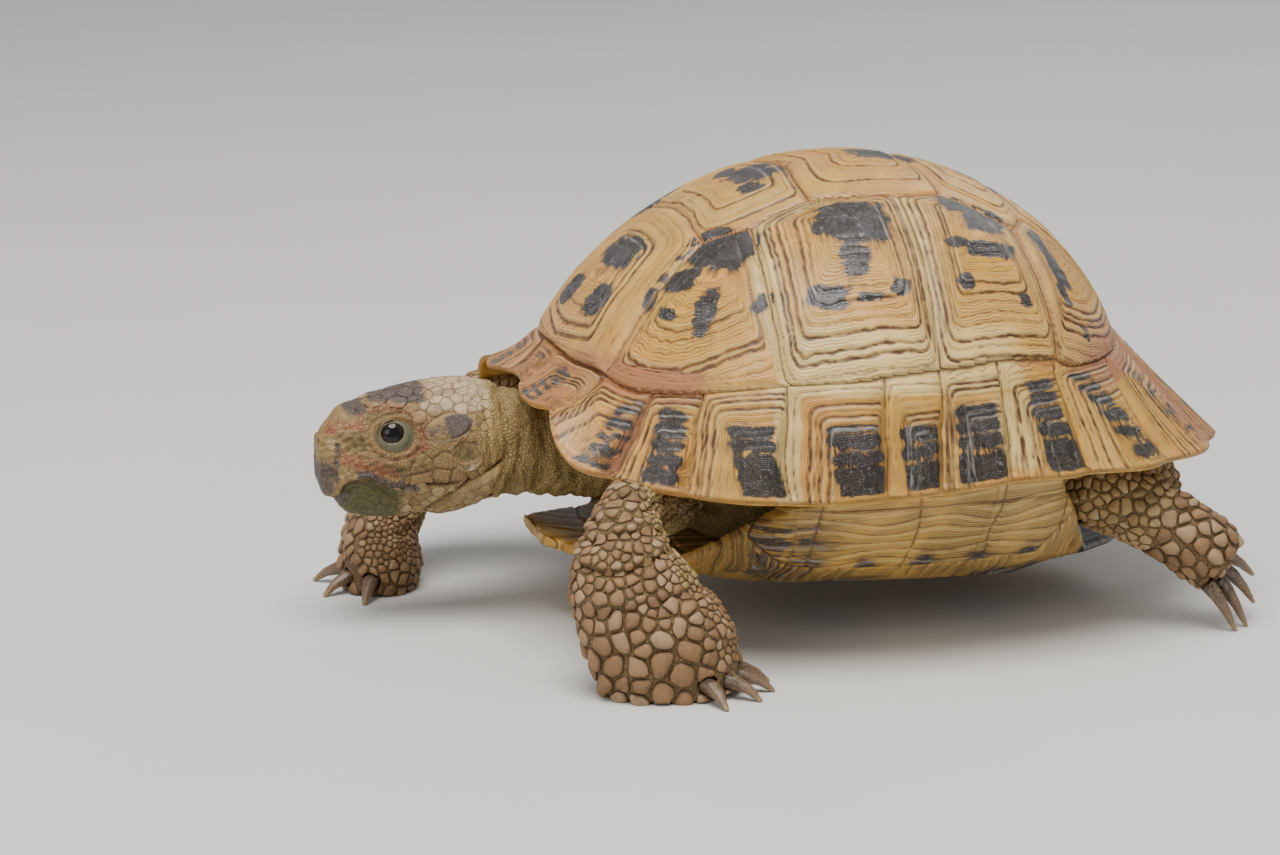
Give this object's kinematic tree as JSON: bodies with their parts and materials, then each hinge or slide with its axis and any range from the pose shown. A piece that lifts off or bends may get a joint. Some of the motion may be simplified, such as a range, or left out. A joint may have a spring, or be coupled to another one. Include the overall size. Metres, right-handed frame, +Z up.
{
  "type": "tortoise",
  "caption": "Walking tortoise with a high domed shell, head stretched forward, scaly legs and clawed feet.",
  "frame": {"origin": "on the floor, under the middle of the whole animal seen from above", "axes": "-X is the way the tortoise walks, -Y is its left side, +Z is up"},
  "size_m": [0.185, 0.1402, 0.0912],
  "materials": {
    "carapace": "satin horn shields with dark growth patches",
    "plastron": "satin yellow horn shields with dark patches",
    "skin": "dry scaly skin",
    "pocket_skin": "soft granular skin",
    "horn": "worn satin horn",
    "eye": "wet gloss"
  },
  "bodies": {
    "root": {"carapace": "carapace", "claw_front_left_1": "horn", "claw_front_left_2": "horn", "claw_front_left_3": "horn", "claw_front_left_4": "horn", "claw_front_right_1": "horn", "claw_front_right_2": "horn", "claw_front_right_3": "horn", "claw_front_right_4": "horn", "claw_hind_left_1": "horn", "claw_hind_left_2": "horn", "claw_hind_left_3": "horn", "claw_hind_left_4": "horn", "claw_hind_right_1": "horn", "claw_hind_right_2": "horn", "claw_hind_right_3": "horn", "claw_hind_right_4": "horn", "eye_left": "eye", "eye_right": "eye", "foot_front_left": "skin", "foot_front_right": "skin", "foot_hind_left": "skin", "foot_hind_right": "skin", "head": "skin", "leg_front_left": "skin", "leg_front_right": "skin", "leg_hind_left": "skin", "leg_hind_right": "skin", "lower_jaw": "horn", "neck": "skin", "plastron": "plastron", "tail": "skin", "trunk": "pocket_skin"}
  },
  "joints": []
}
